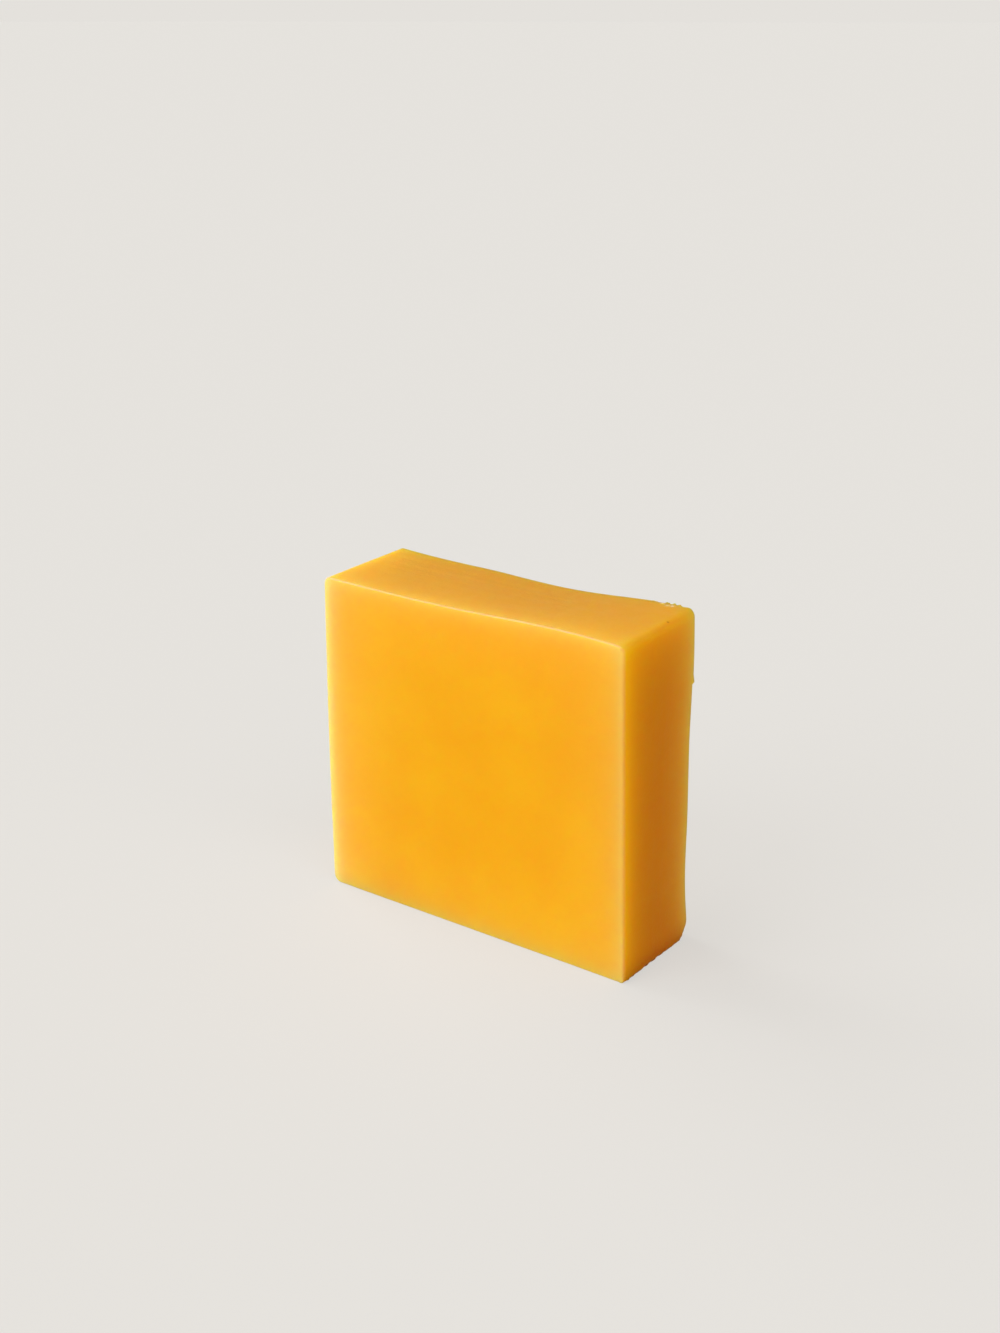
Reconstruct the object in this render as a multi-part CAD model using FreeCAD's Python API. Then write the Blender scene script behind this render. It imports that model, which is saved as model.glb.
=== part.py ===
import FreeCAD, Part
import os

# Detailing clay bar, standing on its long narrow side. Millimetres.
# +X runs along the bar's long base edge, +Y from the front face to the rear face, +Z up.
# The origin is the middle of the base: the centre of the bar's box in X and Y, on the surface it stands on.

# Driving dimensions
WIDTH = 76.9  # whole width along X
THICKNESS = 25.4  # front face to rear face
HEIGHT = 71.4  # at the rear right corner

# The bar is poured, cut and pressed by hand, so its corners miss the true rectangle by a little.
FRONT_TOP_LEFT_DROP = 1.0
FRONT_TOP_RIGHT_DROP = 1.25
REAR_TOP_LEFT_DROP = 0.35
FRONT_LEFT_INSET = 0.45
FRONT_RIGHT_LEAN = 1.85  # how far the end face's front edge leans in on its way up
REAR_RIGHT_LEAN = 1.3  # the same for its rear edge
REAR_RIGHT_INSET = 0.35  # of the rear edge's foot

# Bows of the outline's sides, as (place along the side from 0 to 1, distance outwards). Places are
# counted the way the outline runs: base to the right, right side up, top to the left, left side down.
FRONT_TOP_BOW = ((0.13, 0.45), (0.5, -0.1))
FRONT_LEFT_BOW = ((0.5, 0.3),)
REAR_RIGHT_BOW = ((0.1, -0.75), (0.35, -0.75), (0.62, -0.6), (0.82, 0.05))
REAR_TOP_BOW = ((0.07, 0.08), (0.16, -0.24), (0.38, -1.27), (0.64, -0.83), (0.86, -0.55))
REAR_LEFT_BOW = ((0.5, -0.1),)

# Edge radii
BASE_LEFT_RADIUS = 1.9
BASE_RIGHT_RADIUS = 0.9
TOP_LEFT_RADIUS = 1.6
TOP_RIGHT_RADIUS = 1.8
RIM_RADIUS = 0.8  # round both large faces

# Tolerance for picking edges by where they lie
NEAR = 1e-4


def bowed_side(start, end, y, bow):
    """The side from start to end, each (x, z), bowed outwards. Going round the outline runs
    counter-clockwise seen from the front, so outwards is to the right of the way the side runs."""
    run_x = end[0] - start[0]
    run_z = end[1] - start[1]
    length = (run_x ** 2 + run_z ** 2) ** 0.5
    first = FreeCAD.Vector(start[0], y, start[1])
    last = FreeCAD.Vector(end[0], y, end[1])
    if not bow:
        return Part.LineSegment(first, last).toShape()
    out_x = run_z / length
    out_z = -run_x / length
    middle = [
        FreeCAD.Vector(start[0] + place * run_x + out * out_x, y, start[1] + place * run_z + out * out_z)
        for place, out in bow
    ]
    curve = Part.BSplineCurve()
    curve.interpolate([first] + middle + [last])
    return curve.toShape()


def outline(y, corners, bows):
    """The four sides of one large face's outline: base, right, top, left."""
    following = corners[1:] + corners[:1]
    return [bowed_side(start, end, y, bow) for start, end, bow in zip(corners, following, bows)]


def front_outline():
    right = WIDTH / 2
    left = -WIDTH / 2
    corners = [
        (left + FRONT_LEFT_INSET, 0.0),
        (right, 0.0),
        (right - FRONT_RIGHT_LEAN, HEIGHT - FRONT_TOP_RIGHT_DROP),
        (left + FRONT_LEFT_INSET, HEIGHT - FRONT_TOP_LEFT_DROP),
    ]
    return outline(-THICKNESS / 2, corners, [(), (), FRONT_TOP_BOW, FRONT_LEFT_BOW])


def rear_outline():
    right = WIDTH / 2 - REAR_RIGHT_INSET
    left = -WIDTH / 2
    corners = [
        (left, 0.0),
        (right, 0.0),
        (right - REAR_RIGHT_LEAN, HEIGHT),
        (left, HEIGHT - REAR_TOP_LEFT_DROP),
    ]
    return outline(THICKNESS / 2, corners, [(), REAR_RIGHT_BOW, REAR_TOP_BOW, REAR_LEFT_BOW])


def sharp_block():
    """The bar with sharp edges: two flat faces, a flat base, and three gently twisted sides."""
    front = front_outline()
    rear = rear_outline()
    base_ends = [
        Part.makeLine(near.firstVertex().Point, far.firstVertex().Point)
        for near, far in zip(front[:2], rear[:2])
    ]
    base = Part.Face(Part.Wire([front[0], base_ends[1], rear[0], base_ends[0]]))
    sides = [Part.makeRuledSurface(near, far) for near, far in zip(front[1:], rear[1:])]
    faces = [Part.Face(Part.Wire(front)), Part.Face(Part.Wire(rear)), base] + sides
    shell = Part.Shell(faces)
    shell.sewShape()
    return Part.Solid(shell)


def crossing_edge(block, x_side, z_side):
    """The edge that runs from the front face to the rear face at one corner of the outline."""
    crossing = [edge for edge in block.Edges if edge.BoundBox.YLength > THICKNESS / 2]
    return max(crossing, key=lambda edge: x_side * edge.CenterOfMass.x + z_side * edge.CenterOfMass.z)


def rims(block):
    """All edges of the two outlines, the front one and the rear one."""
    return [edge for edge in block.Edges if edge.BoundBox.YLength < NEAR]


def clay_bar():
    block = sharp_block()
    corner_radii = [
        (-1, -1, BASE_LEFT_RADIUS),
        (1, -1, BASE_RIGHT_RADIUS),
        (-1, 1, TOP_LEFT_RADIUS),
        (1, 1, TOP_RIGHT_RADIUS),
    ]
    for x_side, z_side, radius in corner_radii:
        block = block.makeFillet(radius, [crossing_edge(block, x_side, z_side)])
    return block.makeFillet(RIM_RADIUS, rims(block))


def main():
    os.makedirs("parts", exist_ok=True)
    bar = clay_bar()
    box = bar.optimalBoundingBox(True, False)
    print("clay_bar valid", bar.isValid(), "solids", len(bar.Solids))
    print("box", [round(value, 3) for value in (box.XMin, box.XMax, box.YMin, box.YMax, box.ZMin, box.ZMax)])
    print("volume cm3", round(bar.Volume / 1000, 2))
    bar.exportStep("parts/clay_bar.step")


main()
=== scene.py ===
import math

import bpy
import numpy as np
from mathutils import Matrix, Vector, noise


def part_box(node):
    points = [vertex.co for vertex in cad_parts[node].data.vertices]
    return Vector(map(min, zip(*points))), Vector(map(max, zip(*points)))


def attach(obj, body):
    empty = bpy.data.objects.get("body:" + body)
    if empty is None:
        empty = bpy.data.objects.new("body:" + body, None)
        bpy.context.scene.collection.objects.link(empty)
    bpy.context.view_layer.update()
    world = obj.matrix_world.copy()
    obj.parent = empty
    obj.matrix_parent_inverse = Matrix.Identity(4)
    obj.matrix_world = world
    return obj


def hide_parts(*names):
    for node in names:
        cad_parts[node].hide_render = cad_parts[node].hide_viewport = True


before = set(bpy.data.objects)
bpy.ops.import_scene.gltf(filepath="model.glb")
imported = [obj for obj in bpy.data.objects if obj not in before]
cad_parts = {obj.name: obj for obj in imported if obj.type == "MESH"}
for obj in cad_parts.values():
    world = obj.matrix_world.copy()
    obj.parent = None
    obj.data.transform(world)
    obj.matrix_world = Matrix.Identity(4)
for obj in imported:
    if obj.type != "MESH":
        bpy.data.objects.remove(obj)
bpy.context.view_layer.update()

# The bar is worked out in millimetres and written to its mesh in metres.
MM = 0.001
NODE = "clay_bar"
LOW, HIGH = (np.array(corner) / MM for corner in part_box(NODE))
HALF_WIDTH = (HIGH[0] - LOW[0]) / 2
HALF_THICKNESS = (HIGH[1] - LOW[1]) / 2
TOP_ROOM = 0.2  # under the top of the CAD's box, for the burrs and crumbs to stand in
HEIGHT = HIGH[2] - TOP_ROOM

# How far the hand-cut outline misses a true rectangle, front face and rear face.
FRONT_TOP_DROP = {"left": 1.0, "right": 1.25}
REAR_TOP_DROP = {"left": 0.35, "right": 0.0}
FRONT_LEFT_INSET = 0.45
REAR_RIGHT_INSET = 0.35
FRONT_RIGHT_LEAN = 1.85
REAR_RIGHT_LEAN = 1.3

# Bows of the sides, as (place from 0 to 1, distance outwards). Places run left to right or base to top.
FRONT_TOP_BOW = ((0.0, 0.0), (0.5, -0.1), (0.87, 0.45), (1.0, 0.0))
REAR_TOP_BOW = (
    (0.0, 0.0), (0.14, -0.55), (0.36, -0.83), (0.62, -1.27), (0.84, -0.24), (0.93, 0.08), (1.0, 0.0),
)
REAR_RIGHT_BOW = ((0.0, 0.0), (0.1, -0.75), (0.35, -0.75), (0.62, -0.6), (0.82, 0.05), (1.0, 0.0))
FRONT_LEFT_BOW = ((0.0, 0.0), (0.5, 0.3), (1.0, 0.0))
REAR_LEFT_BOW = ((0.0, 0.0), (0.5, -0.1), (1.0, 0.0))

# Radii of the corners of the outline, keyed by their sides along x and z, and of the rims all round the large
# faces, keyed by the sides along y, x and z, with 0 for the way the rim runs.
CORNER_RADII = {(-1, -1): 1.9, (1, -1): 0.9, (-1, 1): 1.6, (1, 1): 1.8}
RIM_RADII = {
    (-1, 0, 1): 0.35, (-1, 0, -1): 0.5, (-1, -1, 0): 0.5, (-1, 1, 0): 0.9,
    (1, 0, 1): 0.8, (1, 0, -1): 0.8, (1, -1, 0): 0.8, (1, 1, 0): 0.9,
}
RIM_BLEND = 0.3  # how gradually one rim's radius passes into the next, and how sharply the nearest rim wins
RIM_SHARPNESS = 4

# How light through the edges changes each face beside them, painted into the colour: a face as (axis, side),
# then its edges the same way. The painted glow turns the amber yellow, and the painted sheen lays a pale haze
# over it.
LEFT, RIGHT, FRONT, REAR, BASE, TOP = (0, -1), (0, 1), (1, -1), (1, 1), (2, -1), (2, 1)
EDGE_PAINTED_GLOW = {
    FRONT: {LEFT: 0.75, RIGHT: 0.15, TOP: 0.22, BASE: 0.1},
    RIGHT: {FRONT: 1.0, REAR: 1.0, TOP: 0.6},
    TOP: {FRONT: 0.75, LEFT: 1.0, RIGHT: 0.15, REAR: 0.15},
    LEFT: {FRONT: 0.8, REAR: 0.7, TOP: 0.6, BASE: 0.3},
    REAR: {LEFT: 0.5, RIGHT: 0.5, TOP: 0.3, BASE: 0.2},
    BASE: {FRONT: 0.1, REAR: 0.2, LEFT: 0.2},
}
EDGE_PAINTED_SHEEN = {
    FRONT: {LEFT: 0.43, RIGHT: 0.17, TOP: 0.13, BASE: 0.12},
    RIGHT: {REAR: 0.18},
    TOP: {FRONT: 0.1, LEFT: 0.1},
    LEFT: {FRONT: 0.3, REAR: 0.2, TOP: 0.15},
    REAR: {LEFT: 0.2, RIGHT: 0.2, TOP: 0.1},
}
# Painted shade, darkening each face towards the base
FOOT_SHADE = {
    FRONT: {BASE: 0.1},
    RIGHT: {BASE: 1.0},
    LEFT: {BASE: 0.4},
    REAR: {BASE: 0.4},
    BASE: {RIGHT: 1.0, LEFT: 0.4, REAR: 0.4},
}
PAINTED_RIM_HIGHLIGHT = {(FRONT, TOP): 0.8, (FRONT, LEFT): 0.8, (TOP, LEFT): 0.4, (RIGHT, REAR): 0.3}  # painted pale highlights along these rims
GLOW_NEAR = 1.6  # how quickly the light dies away from an edge, close beside it and beyond
GLOW_FAR = 7.0
GLOW_NEAR_SHARE = 0.4
PAINTED_SHEEN_NEAR_SHARE = 0.75
FOOT_NEAR_SHARE = 0.85
RIM_DIP = 0.95  # less yellow right on the rim, which is too thin to hold much light
RIM_WIDTH = 0.8

# Small marks, each at a place on the bar
BURR_START, BURR_END = 26.5, 35.5  # along the rear top edge, where the knife left it ragged
BURR_NOTCH = 0.2
BURR_HEIGHT = 0.8
BURR_REACH = 0.8
BURR_SIZE = (0.8, 0.6, 0.6)
BURR_RISE, BURR_FALL = 0.25, 1.0  # how far the ragged stretch takes to begin and to end
# Crumbs stand up as small lumps; the clay's colour paints them pale as a painted glint
CRUMBS = ((32.4, 10.8, 71.2), (29.9, 11.4, 71.2), (31.4, 10.7, 71.2))
CRUMB_HEIGHT, CRUMB_RADIUS = 0.2, 0.32
PIT = (35.85, 3.6, 70.5)
PIT_HEIGHT, PIT_RADIUS = -0.1, 0.2
FLAKE_TOP = 57.6  # of a tongue of clay dragged out along the rear right edge
FLAKE_TIP = 56.0
FLAKE_STAND = 0.3
FLAKE_STEP = 0.5  # from the tip down to the hollow below it
FLAKE_HOLLOW = 0.5  # the hollow's depth, as a share of the tongue's height
FLAKE_REACH = 1.2
FLAKE_FADE = 6.0
CORNER_CUT = 1.3  # off the lower rear right corner
CORNER_REACH = 2.2
FOOT_LUMPS = 0.3  # along the foot of the right end
FOOT_HEIGHT = 1.0
FOOT_FRINGE = 2.0  # how far in from the right end the lumps reach under the bar
FOOT_LUMP_SIZE = (0.9, 0.9, 0.7)

# Unevenness of the skin: broad hollows, small ones, and the drag lines that run along the narrow faces
BROAD_RELIEF, BROAD_SIZE = 0.07, 15.0
SMALL_RELIEF, SMALL_SIZE = 0.012, 2.4
DRAG_RELIEF, DRAG_LENGTH, DRAG_WIDTH = 0.02, 45.0, 1.3

# Mesh spacing
FLAT_STEP = 0.7
FINE_STEP = 0.27
FINE_ACROSS = (24.5, 35.4)  # the ragged stretch
FINE_BACK = (-4.0, 9.0)  # the foot's lumps and the pit
FINE_UP = (17.0, 22.5)  # the flake, measured from the bar's middle
EDGE_BAND = 3.0  # beside every edge, where each mesh step is larger than the one before it
EDGE_LINES = 14
EDGE_GROWTH = 1.28

NEARLY_ZERO = 1e-9


def curve_through(points):
    """A natural cubic spline through the points, as a function of an array of places."""
    places, values = (np.array(column, dtype=float) for column in zip(*points))
    gaps = np.diff(places)
    count = len(places)
    system = np.eye(count)
    bends = np.zeros(count)
    for i in range(1, count - 1):
        system[i, i - 1:i + 2] = gaps[i - 1], 2 * (gaps[i - 1] + gaps[i]), gaps[i]
        bends[i] = 6 * ((values[i + 1] - values[i]) / gaps[i] - (values[i] - values[i - 1]) / gaps[i - 1])
    second = np.linalg.solve(system, bends)

    def value(at):
        span = np.clip(np.searchsorted(places, at) - 1, 0, count - 2)
        gap = gaps[span]
        after = (np.clip(at, 0, 1) - places[span]) / gap
        before = 1 - after
        straight = before * values[span] + after * values[span + 1]
        bend = (before ** 3 - before) * second[span] + (after ** 3 - after) * second[span + 1]
        return straight + bend * gap ** 2 / 6

    return value


def blend(near, far, amount):
    return near + (far - near) * amount


def grid_lines(half_length, fine=None):
    """Places of the mesh lines along one axis, close together beside both edges and in the fine stretch."""
    steps = EDGE_GROWTH ** np.arange(EDGE_LINES)
    band = np.concatenate([[0.0], np.cumsum(steps) / steps.sum() * EDGE_BAND])
    inner = half_length - EDGE_BAND
    stretches = [(-inner, inner, FLAT_STEP)]
    if fine:
        start, end = fine[0], min(fine[1], inner - FINE_STEP)
        stretches = [(-inner, start, FLAT_STEP), (start, end, FINE_STEP), (end, inner, FLAT_STEP)]
    middle = [
        np.linspace(near, far, math.ceil((far - near) / step) + 1)[:-1]
        for near, far, step in stretches
    ]
    return np.concatenate([band[:-1] - half_length, *middle, half_length - band[::-1]])


def box_surface(lines):
    """Lattice points on the surface of the box that the three sets of lines span, and its quads."""
    last = [len(axis) - 1 for axis in lines]
    index = {}
    points = []

    def corner(cell):
        if cell not in index:
            index[cell] = len(points)
            points.append([lines[axis][cell[axis]] for axis in range(3)])
        return index[cell]

    quads = []
    for axis in range(3):
        across, up = (axis + 1) % 3, (axis + 2) % 3
        for side in (0, last[axis]):
            for i in range(last[across]):
                for j in range(last[up]):
                    ring = [(i, j), (i + 1, j), (i + 1, j + 1), (i, j + 1)]
                    if side == 0:
                        ring.reverse()
                    cells = []
                    for a, b in ring:
                        cell = [0, 0, 0]
                        cell[axis], cell[across], cell[up] = side, a, b
                        cells.append(corner(tuple(cell)))
                    quads.append(cells)
    return np.array(points), quads


def rim_radius(points, half):
    """The radius of the rim nearest to each point, passing smoothly from one rim to the next."""
    weight_sum = np.zeros(len(points))
    radius = np.zeros(len(points))
    for (y_side, x_side, z_side), rim in RIM_RADII.items():
        gap_x = np.abs(points[:, 0] - x_side * half[0]) if x_side else 0
        gap_z = np.abs(points[:, 2] - z_side * half[2]) if z_side else 0
        weight = (y_side * points[:, 1] >= 0) / (gap_x + gap_z + RIM_BLEND) ** RIM_SHARPNESS
        weight_sum += weight
        radius += weight * rim
    return radius / weight_sum


def rounded(points, half):
    """The box's points moved onto a box with the outline's corners rounded and then the rims, and the way
    outwards at each point."""
    corner = np.zeros(len(points))
    for (x_side, z_side), corner_radius in CORNER_RADII.items():
        nearest = (x_side * points[:, 0] > 0) & (z_side * points[:, 2] > 0)
        corner[nearest] = corner_radius
    rim = rim_radius(points, half)
    outline_half = half[[0, 2]]
    place = points[:, [0, 2]]
    centre = np.clip(place, corner[:, None] - outline_half, outline_half - corner[:, None])
    away = place - centre
    distance = np.maximum(np.linalg.norm(away, axis=1), NEARLY_ZERO)
    inner = centre + away * (np.minimum(distance, corner - rim) / distance)[:, None]
    core = np.column_stack([inner[:, 0], np.clip(points[:, 1], rim - half[1], half[1] - rim), inner[:, 1]])
    outward = points - core
    outward /= np.linalg.norm(outward, axis=1)[:, None]
    return core + outward * rim[:, None], outward


def cut_by_hand(points, half):
    """The true rounded box warped to the bar's own outline: leaning end, dished and crowned edges."""
    across = (points[:, 0] / half[0] + 1) / 2
    back = (points[:, 1] / half[1] + 1) / 2
    up = (points[:, 2] / half[2] + 1) / 2
    left_bow = blend(curve_through(FRONT_LEFT_BOW)(up), curve_through(REAR_LEFT_BOW)(up), back)
    left = -HALF_WIDTH + FRONT_LEFT_INSET * (1 - back) - left_bow
    right_bow = curve_through(REAR_RIGHT_BOW)(up) * back
    lean = blend(FRONT_RIGHT_LEAN, REAR_RIGHT_LEAN, back) * up
    right = HALF_WIDTH - REAR_RIGHT_INSET * back - lean + right_bow
    front_drop = blend(FRONT_TOP_DROP["left"], FRONT_TOP_DROP["right"], across)
    rear_drop = blend(REAR_TOP_DROP["left"], REAR_TOP_DROP["right"], across)
    front_top = curve_through(FRONT_TOP_BOW)(across) - front_drop
    rear_top = curve_through(REAR_TOP_BOW)(across) - rear_drop
    top = HEIGHT + blend(front_top, rear_top, back)
    return np.column_stack([blend(left, right, across), points[:, 1], top * up])


def face_share(outward, face):
    """How much of each point's way outwards is a face's own: 1 on the flat of it, less on its rounded rim."""
    axis, side = face
    return np.clip(side * outward[:, axis], 0, 1) ** 2


def beside_edges(points, outward, half, amounts, near_share, dip=0):
    """Each face's amounts at its edges, dying away from them, as one number from 0 to 1 for each point."""
    total = np.zeros(len(points))
    for face, edges in amounts.items():
        kept = np.ones(len(points))
        for (axis, side), amount in edges.items():
            gap = half[axis] - side * points[:, axis]
            near = near_share * np.exp(-gap / GLOW_NEAR)
            far = (1 - near_share) * np.exp(-gap / GLOW_FAR)
            kept *= 1 - amount * (near + far) * (1 - dip * np.exp(-gap / RIM_WIDTH))
        total += face_share(outward, face) * (1 - kept)
    return total


def painted_rim_highlight(outward):
    """Each listed rim's amount of painted pale highlight along the middle of its rounding, and nothing on the
    faces beside it.
    There both faces' shares are a half, so four times their product is 1."""
    return sum(
        4 * amount * face_share(outward, one) * face_share(outward, other)
        for (one, other), amount in PAINTED_RIM_HIGHLIGHT.items()
    )


def fade(distance, reach):
    return np.exp(-(distance / reach) ** 2)


def noise_at(points, sizes):
    """Smooth noise from -1 to 1 at each point, with features of the given sizes along x, y and z."""
    return np.array([noise.noise(Vector(place)) for place in points / np.array(sizes)])


def relief(points, outward):
    """How far the uneven skin stands above the smooth shape. Its drag lines run along the narrow faces."""
    narrow = 1 - outward[:, 1] ** 2
    return (
        BROAD_RELIEF * noise_at(points, (BROAD_SIZE,) * 3)
        + SMALL_RELIEF * noise_at(points, (SMALL_SIZE,) * 3)
        + DRAG_RELIEF * narrow * noise_at(points, (DRAG_LENGTH, DRAG_WIDTH, DRAG_LENGTH))
    )


def mark(points, place, radius):
    """A small round mark: 1 at its place and nothing a few radii away."""
    return fade(np.linalg.norm(points - np.array(place), axis=1), radius)


def crumbs(points):
    return sum(mark(points, place, CRUMB_RADIUS) for place in CRUMBS)


def burrs(points):
    """The torn stretch of the rear top edge, a little lower than the clean edge and with lumps on it."""
    x, y, z = points.T
    gap = np.hypot(HALF_THICKNESS - y, HEIGHT - z)
    stretch = np.clip((x - BURR_START) / BURR_RISE, 0, 1) * np.clip((BURR_END - x) / BURR_FALL, 0, 1)
    lumps = np.clip(noise_at(points, BURR_SIZE), 0, 1)
    return fade(gap, BURR_REACH) * stretch * (BURR_HEIGHT * lumps - BURR_NOTCH)


def flake(points):
    """A tongue dragged down the rear right edge, and the hollow it left below its tip."""
    x, y, z = points.T
    below_tip = FLAKE_TIP - z
    past_tip = np.clip(below_tip / FLAKE_STEP, 0, 1)
    tongue = np.clip((FLAKE_TOP - z) / (FLAKE_TOP - FLAKE_TIP), 0, 1) * (1 - past_tip)
    hollow = FLAKE_HOLLOW * past_tip * np.exp(-np.clip(below_tip, 0, None) / FLAKE_FADE)
    gap = np.hypot(HALF_THICKNESS - y, HALF_WIDTH - REAR_RIGHT_LEAN - x)
    return FLAKE_STAND * fade(gap, FLAKE_REACH) * (tongue - hollow)


def ragged_foot(points):
    x, y, z = points.T
    lumps = noise_at(points, FOOT_LUMP_SIZE)
    return FOOT_LUMPS * fade(z, FOOT_HEIGHT) * np.clip(1 + (x - HALF_WIDTH) / FOOT_FRINGE, 0, 1) * lumps


def corner_cut(points):
    """The way each point moves where the lower rear right corner is knocked off."""
    corner = np.array([HALF_WIDTH - REAR_RIGHT_INSET, HALF_THICKNESS, 0.0])
    inwards = np.array([-1.0, -1.0, 1.0]) / math.sqrt(3)
    gap = np.linalg.norm(points - corner, axis=1)
    return CORNER_CUT * fade(gap, CORNER_REACH)[:, None] * inwards


def store(mesh, name, values):
    mesh.attributes.new(name, "FLOAT", "POINT").data.foreach_set("value", values)


def bar_mesh():
    half = np.array([HALF_WIDTH, HALF_THICKNESS, HEIGHT / 2])
    box_points, quads = box_surface([
        grid_lines(half[0], FINE_ACROSS), grid_lines(half[1], FINE_BACK), grid_lines(half[2], FINE_UP)])
    round_points, outward = rounded(box_points, half)
    smooth = cut_by_hand(round_points, half)
    height = relief(smooth, outward) + burrs(smooth) + flake(smooth) + ragged_foot(smooth)
    height += CRUMB_HEIGHT * crumbs(smooth) + PIT_HEIGHT * mark(smooth, PIT, PIT_RADIUS)
    points = smooth + height[:, None] * outward + corner_cut(smooth)
    points[:, 2] = np.clip(points[:, 2], 0, None)
    mesh = bpy.data.meshes.new("clay_block")
    mesh.from_pydata((points * MM).tolist(), [], quads)
    # Painted light beside the edges: a yellow glow and a pale sheen
    painted_glow = beside_edges(box_points, outward, half, EDGE_PAINTED_GLOW, GLOW_NEAR_SHARE, RIM_DIP)
    painted_sheen = beside_edges(box_points, outward, half, EDGE_PAINTED_SHEEN, PAINTED_SHEEN_NEAR_SHARE)
    # Each face's share, which the clay's colour uses for its painted per-face shade and light
    for face, name in FACE_NAMES.items():
        store(mesh, name, face_share(outward, face))
    store(mesh, "painted_glow", painted_glow)
    store(mesh, "painted_sheen", painted_sheen)
    # Painted pale highlight along the rims
    store(mesh, "rim", painted_rim_highlight(outward))
    # Painted shade towards the base
    store(mesh, "foot", beside_edges(box_points, outward, half, FOOT_SHADE, FOOT_NEAR_SHARE))
    store(mesh, "pit", mark(smooth, PIT, PIT_RADIUS))
    # Painted glint on the crumbs
    store(mesh, "crumb_painted_glint", np.clip(crumbs(smooth), 0, 1))
    mesh.shade_smooth()
    mesh.update()
    return mesh


def colour_mix(nodes, links, factor, colour_a, colour_b):
    """A mix of two colours, each a plain colour or another node's output."""
    mix = nodes.new("ShaderNodeMix")
    mix.data_type = "RGBA"
    links.new(factor, mix.inputs["Factor"])
    for name, colour in (("A", colour_a), ("B", colour_b)):
        if isinstance(colour, tuple):
            mix.inputs[name].default_value = (*colour, 1)
        else:
            links.new(colour, mix.inputs[name])
    return mix.outputs["Result"]


# Clay: the amber of the large faces, and what each part of the bar turns it towards
AMBER = (0.92, 0.513, 0.0105)
FACE_NAMES = {RIGHT: "right_face", TOP: "top_face", LEFT: "left_face", BASE: "base_face"}
TINTS = {
    # Face tints are painted shade and light: the right end deeper and darker as a shaded face lit only
    # through the clay, and the top, left end and base each toned for how light falls on them
    "right_face": (0.66, 0.145, 0.0005),
    "top_face": (0.72, 0.31, 0.02),
    "left_face": (0.85, 0.36, 0.006),
    "base_face": (0.80, 0.32, 0.004),
    # painted glow of light through the edges
    "painted_glow": (0.985, 0.62, 0.002),
    # painted pale sheen beside the lit edges
    "painted_sheen": (1.0, 0.72, 0.66),
    # painted pale highlight along the rims
    "rim": (0.90, 0.36, 0.17),
    # painted shade towards the base
    "foot": (0.05, 0.015, 0.001),
    "pit": (0.30, 0.09, 0.001),
    # painted glint on the crumbs
    "crumb_painted_glint": (1.0, 0.86, 0.62),
}
MOTTLE_SIZE = 16 * MM
MOTTLE_DEPTH = (0.06, 0.3, 0.3)  # how much of each colour the deepest patches lose
CLAY_ROUGHNESS = (0.30, 0.42)  # from the most rubbed patches to the dullest
PATCH_SIZE = 4 * MM
PATCH_NOISE = (0.3, 0.7)  # the noise values that the most rubbed and the dullest patches stand for
NOISE_DETAIL = 3
GRAIN_SIZE = 0.7 * MM
GRAIN_HEIGHT = 0.04 * MM
CLAY_IOR = 1.45
CLAY_SPECULAR = 0.33
LIGHT_REACH = 14 * MM
LIGHT_REACH_BY_COLOUR = (1, 0.48, 0.07)


def noise_output(nodes, links, size):
    """Noise with features of the given size, fixed to the bar."""
    texture = nodes.new("ShaderNodeTexNoise")
    texture.inputs["Scale"].default_value = 1 / size
    texture.inputs["Detail"].default_value = NOISE_DETAIL
    links.new(nodes.new("ShaderNodeTexCoord").outputs["Object"], texture.inputs["Vector"])
    return texture.outputs["Fac"]


def clay_material():
    material = bpy.data.materials.new("amber_clay")
    material.use_nodes = True
    nodes, links = material.node_tree.nodes, material.node_tree.links
    shader = nodes["Principled BSDF"]
    deeper = tuple(channel * (1 - loss) for channel, loss in zip(AMBER, MOTTLE_DEPTH))
    colour = colour_mix(nodes, links, noise_output(nodes, links, MOTTLE_SIZE), deeper, AMBER)
    for name, tint in TINTS.items():
        amount = nodes.new("ShaderNodeAttribute")
        amount.attribute_name = name
        colour = colour_mix(nodes, links, amount.outputs["Fac"], colour, tint)
    links.new(colour, shader.inputs["Base Color"])

    patches = nodes.new("ShaderNodeMapRange")
    patches.inputs["From Min"].default_value, patches.inputs["From Max"].default_value = PATCH_NOISE
    patches.inputs["To Min"].default_value, patches.inputs["To Max"].default_value = CLAY_ROUGHNESS
    links.new(noise_output(nodes, links, PATCH_SIZE), patches.inputs["Value"])
    links.new(patches.outputs["Result"], shader.inputs["Roughness"])

    grain = nodes.new("ShaderNodeBump")
    grain.inputs["Distance"].default_value = GRAIN_HEIGHT
    links.new(noise_output(nodes, links, GRAIN_SIZE), grain.inputs["Height"])
    links.new(grain.outputs["Normal"], shader.inputs["Normal"])

    shader.inputs["IOR"].default_value = CLAY_IOR
    shader.inputs["Specular IOR Level"].default_value = CLAY_SPECULAR
    shader.inputs["Subsurface Weight"].default_value = 1
    shader.inputs["Subsurface Radius"].default_value = LIGHT_REACH_BY_COLOUR
    shader.inputs["Subsurface Scale"].default_value = LIGHT_REACH
    return material


def make_bar():
    bar = bpy.data.objects.new("clay_block", bar_mesh())
    bpy.context.scene.collection.objects.link(bar)
    bar.data.materials.append(clay_material())
    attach(bar, "root")
    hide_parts(NODE)


# Studio: an evenly lit pale table, and a backdrop of the brightness that the table has
TABLE_HALF = 60  # metres, so that its far side lies near the horizon
TABLE_ROUGHNESS = 0.9
TABLE_COLOUR = (0.175, 0.17, 0.161)
TABLE_LIT_SHARE = 0.765  # of the backdrop's brightness, from its own light
BACKDROP = (0.776, 0.753, 0.716)


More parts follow.
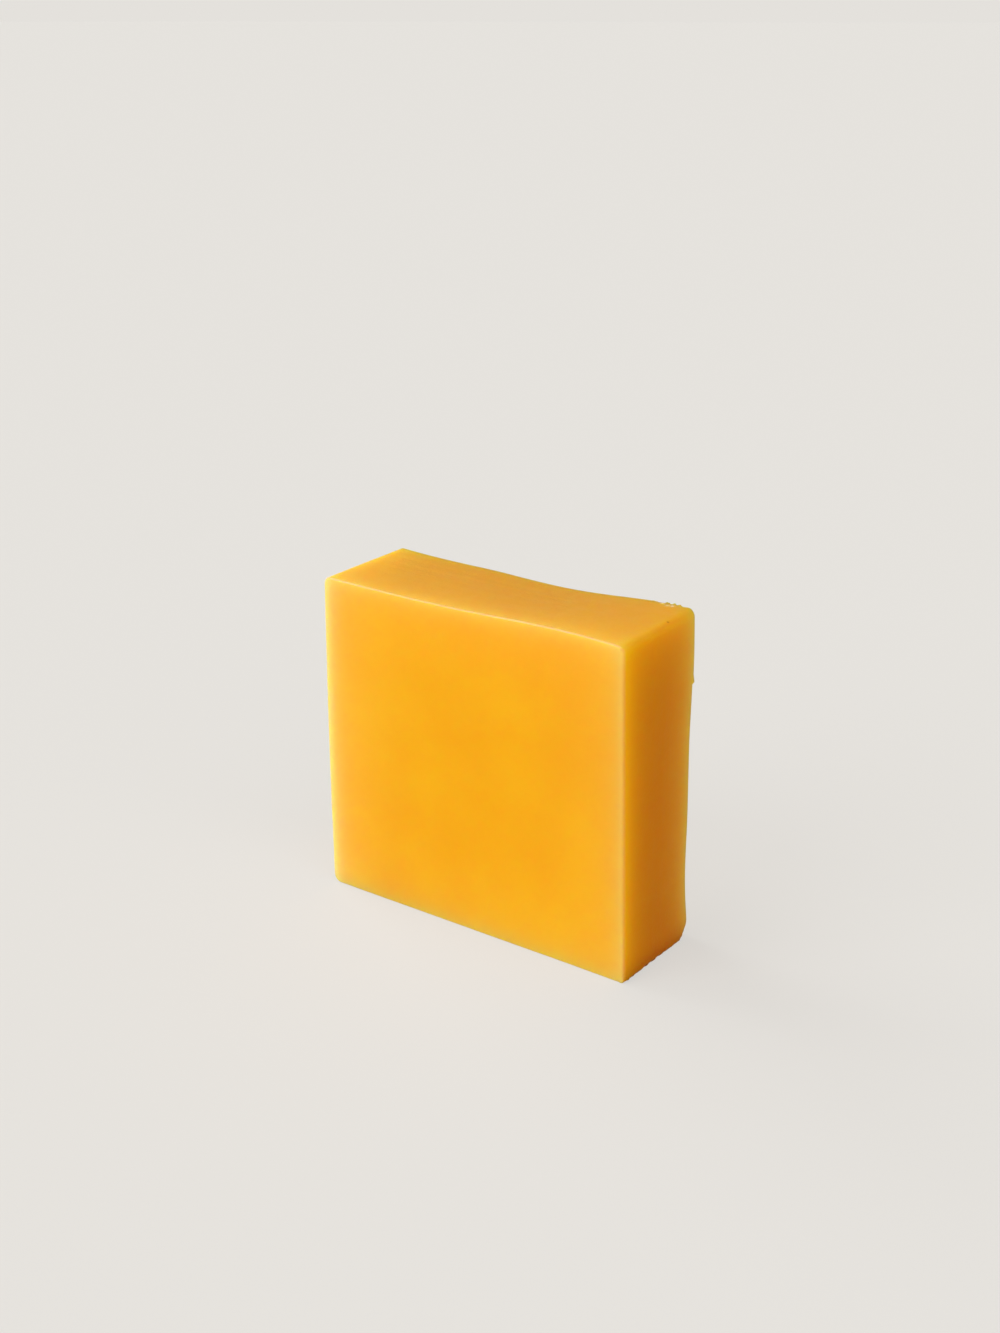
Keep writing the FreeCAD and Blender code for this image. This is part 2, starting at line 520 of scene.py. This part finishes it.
def make_floor():
    mesh = bpy.data.meshes.new("floor")
    ring = [(-1, -1), (1, -1), (1, 1), (-1, 1)]
    mesh.from_pydata([(x * TABLE_HALF, y * TABLE_HALF, 0) for x, y in ring], [], [(0, 1, 2, 3)])
    floor = bpy.data.objects.new("floor", mesh)
    bpy.context.scene.collection.objects.link(floor)
    floor.visible_glossy = False
    material = bpy.data.materials.new("pale_table")
    material.use_nodes = True
    shader = material.node_tree.nodes["Principled BSDF"]
    shader.inputs["Base Color"].default_value = (*TABLE_COLOUR, 1)
    shader.inputs["Emission Color"].default_value = (*BACKDROP, 1)
    shader.inputs["Emission Strength"].default_value = TABLE_LIT_SHARE
    shader.inputs["Roughness"].default_value = TABLE_ROUGHNESS
    shader.inputs["Specular IOR Level"].default_value = 0
    floor.data.materials.append(material)


# Each light's azimuth, elevation and softness in degrees, and its strength
LIGHTS = {
    "key": {"azimuth": -20, "elevation": 30, "strength": 1.52, "softness": 45},
    "overhead": {"azimuth": -60, "elevation": 60, "strength": 0.88, "softness": 45},
    "side": {"azimuth": -95, "elevation": 30, "strength": 1.7, "softness": 45},
    "fill": {"azimuth": 60, "elevation": 40, "strength": 1.36, "softness": 60},
}

SKY_LOW = 0.03
SKY_HIGH = 0.16
SKY_BRIGHT_SIDE = (-0.56, 0.75, 0.34)


def make_world():
    """Dim all round and brighter up behind the bar on the left; the camera sees the plain backdrop."""
    world = bpy.data.worlds.new("studio")
    bpy.context.scene.world = world
    world.use_nodes = True
    nodes, links = world.node_tree.nodes, world.node_tree.links
    facing = nodes.new("ShaderNodeVectorMath")
    facing.operation = "DOT_PRODUCT"
    links.new(nodes.new("ShaderNodeTexCoord").outputs["Generated"], facing.inputs[0])
    facing.inputs[1].default_value = SKY_BRIGHT_SIDE
    sky = colour_mix(nodes, links, facing.outputs["Value"], (SKY_LOW,) * 3, (SKY_HIGH,) * 3)
    seen = nodes.new("ShaderNodeLightPath").outputs["Is Camera Ray"]
    links.new(colour_mix(nodes, links, seen, sky, BACKDROP), nodes["Background"].inputs["Color"])


def way_towards(azimuth, elevation):
    """The way from the bar to something around it. Azimuth 0 is straight in front of the bar, and negative
    azimuths are to its left."""
    return Vector((
        math.sin(azimuth) * math.cos(elevation),
        -math.cos(azimuth) * math.cos(elevation),
        math.sin(elevation),
    ))


def sun(name, azimuth, elevation, strength, softness):
    """A distant soft light."""
    lamp = bpy.data.lights.new(name, "SUN")
    lamp.energy = strength
    lamp.angle = math.radians(softness)
    light = bpy.data.objects.new(name, lamp)
    bpy.context.scene.collection.objects.link(light)
    towards_light = way_towards(math.radians(azimuth), math.radians(elevation))
    light.rotation_mode = "QUATERNION"
    light.rotation_quaternion = towards_light.to_track_quat("Z", "Y")


CAMERA_AZIMUTH = math.radians(36.81)
CAMERA_ELEVATION = math.radians(19.76)
CAMERA_DISTANCE = 0.3763  # metres
CAMERA_LENS = 48.83
SENSOR_WIDTH = 36
AIM = Vector((-4.9, 4.33, 52.52)) * MM


def make_camera():
    data = bpy.data.cameras.new("camera")
    data.sensor_width = SENSOR_WIDTH
    data.lens = CAMERA_LENS
    camera = bpy.data.objects.new("camera", data)
    bpy.context.scene.collection.objects.link(camera)
    back = way_towards(CAMERA_AZIMUTH, CAMERA_ELEVATION)
    camera.location = AIM + back * CAMERA_DISTANCE
    camera.rotation_mode = "QUATERNION"
    camera.rotation_quaternion = back.to_track_quat("Z", "Y")
    bpy.context.scene.camera = camera


make_bar()
make_floor()
make_world()
for light_name, setting in LIGHTS.items():
    sun(light_name, **setting)
make_camera()
bpy.context.scene.view_settings.view_transform = "Standard"
